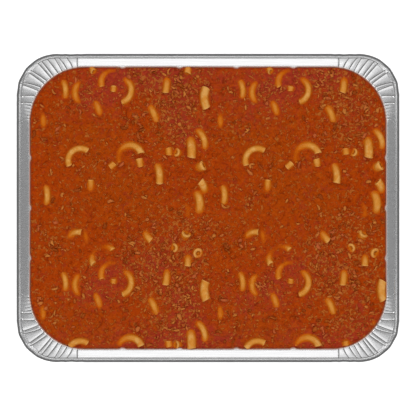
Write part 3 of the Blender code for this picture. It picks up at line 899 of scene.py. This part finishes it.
def pasta_near(x, y):
    """Height of the pasta's top under or over each point, and the distance to its side.

    Inside a tube's outline the top is the axis plus sqrt(r^2 - d^2), d being the distance in plan.
    """
    top = np.full(x.shape, -FAR)
    beside = np.full(x.shape, FAR)
    for elbow, start, end in lie:
        radius = elbow.width / 2
        reach = ELBOW_RADIUS * 1.5 + 8
        near = (np.abs(x - elbow.x) < reach) & (np.abs(y - elbow.y) < reach)
        if not near.any():
            continue
        shorter = min(radius * 0.9 / elbow.bend, (end - start) * 0.45)
        place = elbow_axis(elbow, np.linspace(start + shorter, end - shorter, 15))[0]
        away = np.hypot(x[near][:, None] - place[:, 0], y[near][:, None] - place[:, 1])
        over = place[:, 2] + np.sqrt(np.maximum(radius**2 - away**2, 0))
        over = np.where(away < radius, over, -FAR).max(axis=1)
        cut = np.clip(place[:, 2] - SAUCE_Z, -radius, 0)
        waterline = np.sqrt(radius**2 - cut**2)
        side = np.where(place[:, 2] > SAUCE_Z - radius, away - waterline, FAR).min(axis=1)
        top[near] = np.maximum(top[near], over)
        beside[near] = np.minimum(beside[near], side)
    return top, beside


# %% Height and patches
SAUCE_EDGE_RISE, EDGE_REACH = 0.9, 0.9
PASTA_CLIMB, PASTA_REACH = 0.55, 1.3
SAUCE_LUMPS = ((0.28, 17, 1), (0.16, 7, 2), (0.11, 3.2, 3))
FOOD_FOOT_Z = FOIL + FLOOR_RIB_HEIGHT + 0.35
RED_PATCHES = (
    *((-92, 93, 19, 0.75), (-20, 84, 22, 0.8), (-120, 84, 20, 0.6), (-75, 110, 16, 0.6)),
    *((-45, 112, 16, 0.6), (-30, -28, 24, 0.45), (-20, 62, 16, 0.5), (-60, 40, 14, 0.4)),
)
BROWN_PATCHES = (
    *((-88, 15, 36, 1.0), (-125, 62, 24, 0.8), (-50, 5, 26, 0.7), (-130, -25, 24, 0.7)),
    *((-90, 60, 20, 0.7), (-40, 66, 18, 0.4)),
)
MINCE_PATCHES = (
    *((-35, 92, 26, 1.0), (-30, 68, 20, 0.9), (-35, -30, 28, 1.2), (-104, 95, 12, 0.8)),
    *((-130, 72, 14, 0.5), (-66, -36, 12, 0.4), (-128, -28, 16, 0.5), (-98, 36, 12, 0.5)),
    *((-112, 4, 14, 0.4), (-8, -12, 16, 0.6), (-55, 106, 12, 0.6), (-15, 108, 16, 0.6)),
)


def patches(x, y, places):
    """Adds up soft round patches, exp(-(distance / size)^2), repeated as the elbows are."""
    total = np.zeros(x.shape)
    for px, py, size, strength in places:
        away_x = (x - px + REPEAT_X / 2) % REPEAT_X - REPEAT_X / 2
        away_y = (y - py + REPEAT_Y / 2) % REPEAT_Y - REPEAT_Y / 2
        total += strength * np.exp(-(away_x**2 + away_y**2) / size**2)
    return total


def sauce_level(x, y, beside):
    """Three sizes of lumps, plus a climb exp(-distance / reach) at pasta and at foil."""
    lumps = sum(height * ripple(x, y, size, seed) for height, size, seed in SAUCE_LUMPS)
    climb = PASTA_CLIMB * np.exp(-np.maximum(beside, 0) / PASTA_REACH)
    room = room_in_tray(x, y, SAUCE_Z)[0]
    return SAUCE_Z + lumps + climb + SAUCE_EDGE_RISE * np.exp(-np.maximum(room, 0) / EDGE_REACH)


# %% [markdown]
# ## Crumbs of beef
# Minced beef breaks into pebbles and flakes of one to four millimetres. There are far too many to
# model by hand, so one crumb is worked out as a function of direction, radius = 1 + a few random
# waves, and used for all of them at once, each with its own waves, stretch, curl, turn and place.
# The larger ones that catch the eye are placed one by one, and small ones fall thickest near them.

# %% Where crumbs lie
BIG_CRUMBS = (
    ((-131, 98, 3.6), (-107, 96, 3.4), (-102, 99, 2.2), (-140, 86, 3.4), (-118, 85, 2.4)),
    ((-128, 72, 3.6), (-132, 71, 2.8), (-140, 58, 3.0), (-130, 53, 2.6), (-82, 77, 2.6)),
    ((-69, 76, 3.6), (-59, 60, 4.6), (-52, 56, 2.6), (-57, 107, 3.6), (-45, 99, 2.8)),
    ((-41, 90, 3.4), (-25, 105, 3.0), (-26, 98, 3.8), (-15, 101, 2.8), (-16, 85, 4.0)),
    ((-24, 71, 4.6), (-38, 69, 3.0), (-57, 68, 2.6), (-22, 56, 2.8), (-129, 43, 2.6)),
    ((-114, 36, 3.4), (-96, 36, 4.2), (-89, 32, 3.2), (-115, 7, 3.6), (-116, 3, 2.8)),
    ((-83, 6, 3.6), (-74, 7, 3.6), (-54, 9, 4.2), (-93, 19, 3.2), (-31, -1, 3.0)),
    ((-88, -16, 3.4), (-138, -23, 3.2), (-134, -32, 2.8), (-114, -30, 2.8), (-64, -29, 3.4)),
    ((-45, -21, 3.4), (-38, -36, 2.8), (-6, -14, 3.4), (-73, 36.5, 4.4), (-97, 35, 3.4)),
)
dice = np.random.default_rng(21)


def scatter(tries, thin, thick, smallest, largest):
    """Random places, kept by chance: thin everywhere, thick in the patches, and in clumps."""
    x, y = dice.uniform((-151, -121), (151, 121), (tries, 2)).T
    clumps = 0.55 + 0.9 * np.clip(ripple(x, y, 5, 9), -0.6, 0.6)
    chance = (thin + thick * np.clip(patches(x, y, MINCE_PATCHES), 0, 1)) * clumps
    size = smallest + (largest - smallest) * dice.beta(1.3, 3.0, tries)
    return np.stack([x, y, size], axis=1)[dice.uniform(size=tries) < chance]


def only_free(crumbs):
    """Leaves out crumbs that would stand on pasta or in the foil."""
    x, y, size = crumbs.T
    top, beside = pasta_near(x, y)
    room = room_in_tray(x, y, SAUCE_Z)[0]
    free = (room > size / 2 + 0.3) & (beside > size * 0.25) & (top < SAUCE_Z - 2.0)
    return crumbs[free]


big = np.array([crumb for row in BIG_CRUMBS for crumb in row], float)
repeats = [(across * REPEAT_X, down * REPEAT_Y, 0) for across in (0, 1) for down in (-1, 0, 1)]
big = np.concatenate([big + repeat for repeat in repeats])
lumps_of_beef = only_free(np.concatenate([big, scatter(9500, 0.04, 0.5, 1.9, 4.8)]))
grains_of_beef = only_free(scatter(9000, 0.03, 0.28, 1.0, 2.0))
print(len(lumps_of_beef), "lumps and", len(grains_of_beef), "grains")


# %% Shapes of crumbs
WAVINESS_OF_CRUMBS, WAVE_COUNT = 2.2, 3
POLE_GAP = 0.14
LEAST_STRETCH, MOST_STRETCH = (0.9, 0.42, 0.4), (1.9, 0.85, 0.7)
MOST_CURL, MOST_TILT = 0.55, 0.4
LEAST_LIFT, MOST_LIFT = -0.12, 0.24


def make_crumbs(name, crumbs, rows, columns):
    """One closed lump for each crumb: a sphere's grid, scaled by 1 + waves of its direction.

    It is stretched, bent by y += curl x^2, turned and sunk partly into the sauce.
    """
    polar = np.linspace(POLE_GAP, math.pi - POLE_GAP, rows)[:, None]
    round_turn = np.linspace(0, 2 * math.pi, columns, endpoint=False)[None, :]
    parts = (np.sin(polar) * np.cos(round_turn), np.sin(polar) * np.sin(round_turn), np.cos(polar))
    direction = np.stack(np.broadcast_arrays(*parts), axis=-1).reshape(-1, 3)
    total, step = len(crumbs), len(direction)
    size = crumbs[:, 2, None]
    waves = dice.normal(size=(total, WAVE_COUNT, 3)) * WAVINESS_OF_CRUMBS
    phases = dice.uniform(0, 2 * math.pi, (total, WAVE_COUNT, 1))
    radius = (1 + 0.22 * np.sin(waves @ direction.T + phases).sum(axis=1)) * size / 2
    stretch = dice.uniform(LEAST_STRETCH, MOST_STRETCH, (total, 3))
    local = direction * radius[..., None] * stretch[:, None]
    curl = dice.uniform(-MOST_CURL, MOST_CURL, (total, 1)) / size
    local[..., 1] += curl * local[..., 0] ** 2
    turn = dice.uniform(0, 2 * math.pi, (total, 1))
    tilt = dice.uniform(-MOST_TILT, MOST_TILT, (total, 1))
    x = local[..., 0] * np.cos(turn) - local[..., 1] * np.sin(turn)
    y = local[..., 0] * np.sin(turn) + local[..., 1] * np.cos(turn)
    z = local[..., 2] + local[..., 0] * tilt
    ground = sauce_level(crumbs[:, 0], crumbs[:, 1], np.full(total, CLEAR_OF_PASTA))[:, None]
    lift = dice.uniform(LEAST_LIFT, MOST_LIFT, (total, 1)) * size
    points = np.stack([x + crumbs[:, :1], y + crumbs[:, 1:2], z + ground + lift], axis=-1)
    points = keep_inside(points, FOIL_GAP)
    start = (np.arange(total) * step)[:, None, None]
    sides = grid_faces(rows, columns, ring_columns=True)[None, :, ::-1] + start
    ring = np.arange(columns)
    caps = np.stack([ring, ring[::-1] + step - columns])[None] + start
    kind = np.repeat(dice.uniform(size=total), step)
    above = points[..., 2] - ground
    faces = [sides.reshape(-1, 4), caps.reshape(-1, columns)]
    return add_piece(name, points, faces, kind=kind, above=above)


lumps = make_crumbs("beef_lumps", lumps_of_beef, 5, 7)
grains = make_crumbs("beef_grains", grains_of_beef, 4, 5)

# %% [markdown]
# ## The sauce
# The sauce is a height field again, laid over the level worked out above. An elbow just under the
# surface glows through, so each point learns how thin the sauce is over the pasta. Crumbs leave
# dark rings of shadow round them, so each point also learns how many crumbs are close.


# %% Shadow of the crumbs
CELL = 0.5
REACH_X, REACH_Y = 153, 123


def crumb_shade(x, y, crumbs):
    """Counts crumbs' areas on a fine raster and blurs it by averaging neighbours three times."""
    edges_x = np.arange(-REACH_X, REACH_X + CELL, CELL)
    edges_y = np.arange(-REACH_Y, REACH_Y + CELL, CELL)
    areas = np.histogram2d(*crumbs[:, :2].T, (edges_x, edges_y), weights=crumbs[:, 2] ** 2)[0]
    for axis in (0, 1, 0, 1, 0, 1):
        areas = (np.roll(areas, 1, axis) + areas + np.roll(areas, -1, axis)) / 3
    column = np.clip(((x + REACH_X) / CELL).astype(int), 0, areas.shape[0] - 1)
    row = np.clip(((y + REACH_Y) / CELL).astype(int), 0, areas.shape[1] - 1)
    return areas[column, row]


# %% The sauce's surface
WALL_HUG = 60

edge_inset = wall_inset(SAUCE_Z + SAUCE_EDGE_RISE)
x, y, u, v = filled_outline(edge_inset, 331, 281)
near_long, near_short = np.abs(v) ** WALL_HUG, np.abs(u) ** WALL_HUG
y -= np.sign(v) * near_long * RIB_DEPTH * rib_shape(np.abs(x), LONG_SIDE_RIBS)
x -= np.sign(u) * near_short * RIB_DEPTH * rib_shape(np.abs(y), SHORT_SIDE_RIBS)
top, beside = pasta_near(x, y)
sauce_z = sauce_level(x, y, beside)
glow = np.exp(-np.maximum(sauce_z - top, 0) / 1.1)
glow = np.maximum(glow, 0.7 * np.exp(-np.maximum(beside, 0) / 1.0))
shade = crumb_shade(x, y, np.concatenate([lumps_of_beef, grains_of_beef]))
sauce_top = np.stack([x, y, sauce_z], axis=-1)
print("sauce from", round(sauce_z.min(), 2), "to", round(sauce_z.max(), 2), "mm")
print("shade: middle", round(float(np.median(shade)), 2), "most", round(float(shade.max()), 2))

# %% The sauce's closed body
rows, columns = x.shape
border = grid_border(rows, columns)
rim_points = sauce_top.reshape(-1, 3)[border]
narrowing = WALL_FOOT_INSET + 1.5 - edge_inset
out_x, out_y = room_in_tray(*rim_points.T)[1:]
foot_points = rim_points - np.stack([out_x * narrowing, out_y * narrowing, 0 * out_x], axis=-1)
foot_points[:, 2] = FOOD_FOOT_Z
foot = rows * columns + np.arange(len(border))
side = np.stack([foot, np.roll(foot, -1), np.roll(border, -1), border], axis=1)
tail = np.zeros(len(border))
red_by_place = 0.6 * smooth_step(88, 114, np.abs(y)) + 0.3 * smooth_step(-94, -116, y)
red_by_place = red_by_place - 0.4 * smooth_step(90, 130, np.abs(x))
values = {
    "glow": glow,
    "red": patches(x, y, RED_PATCHES) + red_by_place,
    "brown": patches(x, y, BROWN_PATCHES),
    "mince": np.clip(patches(x, y, MINCE_PATCHES), 0, 1),
    "shade": shade,
    "film_and_highlight": smooth_step(0.1, -0.5, room_in_tray(x, y, SAUCE_Z)[0]),
}
sauce = add_piece(
    "sauce",
    np.concatenate([sauce_top.reshape(-1, 3), foot_points]),
    [grid_faces(rows, columns), side, foot[None, ::-1]],
    **{name: np.concatenate([value.ravel(), tail]) for name, value in values.items()},
)
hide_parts("macaroni_and_beef")

# %% [markdown]
# ## Finishes of the food
# Sauce is never one colour: it is redder where tomato gathers and browner where fat does, with a
# fine grain of mince, and each painted fleck of mince sits in a ring of painted shade. Colours are
# laid over one another, each where a noise or an attribute lets it through. Pasta is pale where it
# stands clear and turns orange where sauce clings to it near the surface. Down its flanks the
# orange is partly clinging sauce and partly painted shade, and its bore is painted dark as shade.
# Beef is tan on top and vanishes into the sauce at its foot.

# %% Tomato sauce
SAUCE_BASE = seen(168, 59, 2)
SAUCE_RED = seen(160, 50, 32)
SAUCE_BROWN = seen(166, 65, 1)
SAUCE_DARK = seen(112, 30, 0)
SAUCE_PALE = seen(188, 80, 15)
SAUCE_PLUM = seen(150, 48, 28)
SAUCE_GOLD = seen(179, 78, 4)
MINCE_PALE = seen(200, 126, 56)
MINCE_OLIVE = seen(172, 100, 30)
PASTA_UNDER = seen(184, 80, 4)
PASTA_NEAR = seen(200, 104, 12)
FAT_FILM_AND_HIGHLIGHT = seen(206, 150, 128)

tomato = Finish("tomato sauce")
grain = tomato.noise(1.1, detail=3.0, roughness=0.65)
clouds = tomato.noise(8.0, detail=2.5, distortion=0.8, shift=3.0)
swirls = tomato.noise(4.2, detail=3.0, roughness=0.62, distortion=1.2, shift=7.0)
redness = (tomato.attribute("red") * 0.8 + (clouds - 0.5) * 1.6).step(0.0, 1.1)
brownness = (tomato.attribute("brown") * 0.8 - (clouds - 0.5) * 1.2).step(0.1, 1.1)
plums = tomato.noise(7.0, detail=2.0, distortion=1.4, shift=17.0)
mince = tomato.attribute("mince")
pieces = tomato.noise(2.6, detail=2.0, roughness=0.6, distortion=0.6, shift=11.0) + mince * 0.07
core = pieces.step(0.58, 0.66)
shade = tomato.attribute("shade").step(0.02, 0.9)
glow = tomato.attribute("glow") + (swirls - 0.5) * 0.35
colour = tomato.coat(
    SAUCE_BASE,
    (redness, SAUCE_RED),
    (brownness * 0.8, SAUCE_BROWN),
    (swirls.step(0.50, 0.30) * 0.68, SAUCE_DARK),
    (swirls.step(0.52, 0.70) * 0.6, SAUCE_PALE),
    (plums.step(0.55, 0.70) * 0.45, SAUCE_PLUM),
    (plums.step(0.42, 0.30) * 0.4, SAUCE_GOLD),
    (grain.step(0.44, 0.30) * 0.24, SAUCE_DARK),
    (grain.step(0.58, 0.74) * 0.22, SAUCE_PALE),
    # Painted shade: a dark ring round each painted fleck of mince.
    (pieces.step(0.50, 0.57) * 0.28, SAUCE_DARK),
    (core * 0.52, tomato.mix(grain.step(0.4, 0.6), MINCE_OLIVE, MINCE_PALE)),
    (shade * 0.45, SAUCE_DARK),
    (glow.step(0.05, 0.75), PASTA_UNDER),
    (glow.step(0.55, 1.0), PASTA_NEAR),
    # A pale ring at the sauce's edge: partly a film of fat, partly painted highlight.
    (tomato.attribute("film_and_highlight") * 0.2, FAT_FILM_AND_HIGHLIGHT),
)
tomato.surface(
    Base_Color=colour,
    Roughness=0.22 + grain * 0.14,
    Specular_IOR_Level=0.035,
    Normal=tomato.bump(swirls * 0.6 + grain * 0.4 + core * 0.6, 0.5, 0.6),
)
sauce.data.materials.append(tomato.material)

# %% Pasta
PASTA_PALE = seen(213, 138, 50)
PASTA_CREAM = seen(222, 160, 82)
PASTA_ORANGE = seen(204, 112, 18)
PASTA_COATED = seen(190, 86, 6)
PASTA_DARK = seen(134, 46, 8)

pasta = Finish("macaroni")
height = pasta.add("ShaderNodeSeparateXYZ", inputs={0: pasta.place}, output="Z")
smears = pasta.noise(5.0, detail=2.5, distortion=0.6)
fine = pasta.noise(1.2, detail=2.5, roughness=0.6, shift=5.0)
above = height * 1000 - SAUCE_Z + (smears - 0.5) * 2.2 + (fine - 0.5) * 0.8
flank = pasta.attribute("crown") + (smears - 0.5) * 0.5
colour = pasta.coat(
    PASTA_COATED,
    (above.step(-0.8, 1.2), PASTA_ORANGE),
    (above.step(0.8, 2.7), PASTA_PALE),
    (above.step(2.3, 4.1) * smears.step(0.4, 0.6), PASTA_CREAM),
    (fine.step(0.60, 0.76) * 0.3, PASTA_COATED),
    # Orange down the flanks: partly sauce that clings, partly painted shade away from the crown.
    ((1 - flank.step(0.3, 0.95)) * 0.6, PASTA_ORANGE),
    (pasta.attribute("lip") * above.step(0.8, 2.4) * 0.7, PASTA_CREAM),
    # Painted shade: the inside of the bore is darkened.
    (pasta.attribute("bore") * 0.9, PASTA_DARK),
)
pasta.surface(
    Base_Color=colour,
    Roughness=0.3 + smears * 0.12,
    Specular_IOR_Level=0.12,
    Normal=pasta.bump(fine, 0.15, 0.5),
)
macaroni.data.materials.append(pasta.material)

# %% Beef
BEEF_TAN = seen(200, 119, 49)
BEEF_PINK = seen(189, 92, 46)
BEEF_OLIVE = seen(173, 85, 24)
BEEF_DARK = seen(150, 66, 14)
BEEF_WET = seen(158, 62, 6)

beef = Finish("minced beef")
kind = beef.attribute("kind")
rough = beef.noise(0.9, detail=3.0, roughness=0.65)
wet = 1 - (beef.attribute("above") + (rough - 0.5) * 0.8).step(-0.15, 0.8)
colour = beef.coat(
    BEEF_DARK,
    (kind.step(0.1, 0.25), BEEF_OLIVE),
    (kind.step(0.35, 0.55), BEEF_PINK),
    (kind.step(0.6, 0.85), BEEF_TAN),
    (wet, BEEF_WET),
    (rough.step(0.50, 0.34) * 0.3, SAUCE_DARK),
)
beef.surface(
    Base_Color=colour,
    Roughness=0.45,
    Specular_IOR_Level=0.08,
    Normal=beef.bump(rough, 0.35, 0.8),
)
for piece in (lumps, grains):
    piece.data.materials.append(beef.material)

# %% [markdown]
# ## The studio
# The tray is bright metal, so what stands round it matters more than how much light falls on it.
# Two large soft boxes hang to the front and the back, with a gap above the lens: the flange's
# front and back strips mirror them and turn white, while the strips at the sides mirror the
# dimmer room and stay grey. Four small boxes at the corners light the food. The floor is pale.

# %% Floor, room and lights
FLOOR_SIZE = 8.0
FLOOR_DROP = 0.0003
PAPER_WHITE = (0.9, 0.9, 0.9)
ROOM_LIGHT = 0.235
CARD_PLACE, CARD_SIZE, CARD_LIGHT = (0, 0.45, 1.0), (0.75, 0.62), 0.89
BOX_PLACE, BOX_SIZE, BOX_LIGHT = (0.8, 0.8, 0.95), (0.5, 0.5), 5.0

corners = np.array([(-1, -1, 0), (1, -1, 0), (1, 1, 0), (-1, 1, 0)]) * FLOOR_SIZE / 2
floor_mesh = bpy.data.meshes.new("studio_floor")
floor_mesh.from_pydata((corners - (0, 0, FLOOR_DROP)).tolist(), [], [(0, 1, 2, 3)])
studio_floor = bpy.data.objects.new("studio_floor", floor_mesh)
bpy.context.scene.collection.objects.link(studio_floor)
paper = Finish("pale paper")
paper.surface(Base_Color=PAPER_WHITE, Roughness=0.9, Specular_IOR_Level=0.1)
paper.surface(Emission_Color=(1.0, 1.0, 1.0), Emission_Strength=0.5)
floor_mesh.materials.append(paper.material)

room = bpy.data.worlds.new("soft room")
room.use_nodes = True
room.node_tree.nodes["Background"].inputs["Color"].default_value = (1, 1, 1, 1)
room.node_tree.nodes["Background"].inputs["Strength"].default_value = ROOM_LIGHT
bpy.context.scene.world = room


def soft_box(name, place, size, radiance):
    """A rectangle of light that faces the tray; its power is radiance times pi times area."""
    lamp = bpy.data.lights.new(name, "AREA")
    lamp.shape = "RECTANGLE"
    lamp.size, lamp.size_y = size
    lamp.energy = radiance * math.pi * size[0] * size[1]
    box = bpy.data.objects.new(name, lamp)
    box.location = place
    box.rotation_euler = Vector(place).to_track_quat("Z", "Y").to_euler()
    bpy.context.scene.collection.objects.link(box)


for side in (-1, 1):
    place = np.multiply(CARD_PLACE, (1, side, 1)).tolist()
    soft_box(f"card_{side}", place, CARD_SIZE, CARD_LIGHT)
    for end in (-1, 1):
        place = np.multiply(BOX_PLACE, (end, side, 1)).tolist()
        soft_box(f"box_{end}_{side}", place, BOX_SIZE, BOX_LIGHT)

# %% [markdown]
# ## The camera
# The photograph looks straight down with almost no perspective, so the lens is long and the
# camera far away. Its distance follows from how much of the tray's plane fills the frame.

# %% Looking straight down
FRAME_WIDTH = 0.3518
LENS, SENSOR = 200.0, 36.0
camera = bpy.data.cameras.new("camera")
camera.lens, camera.sensor_width = LENS, SENSOR
camera.clip_end = 50
view = bpy.data.objects.new("camera", camera)
view.location = (0, 0, FLANGE_Z * MM + FRAME_WIDTH * LENS / SENSOR)
bpy.context.scene.collection.objects.link(view)
bpy.context.scene.camera = view
bpy.context.scene.view_settings.view_transform = "Standard"
print("camera at", round(view.location.z, 3), "m")
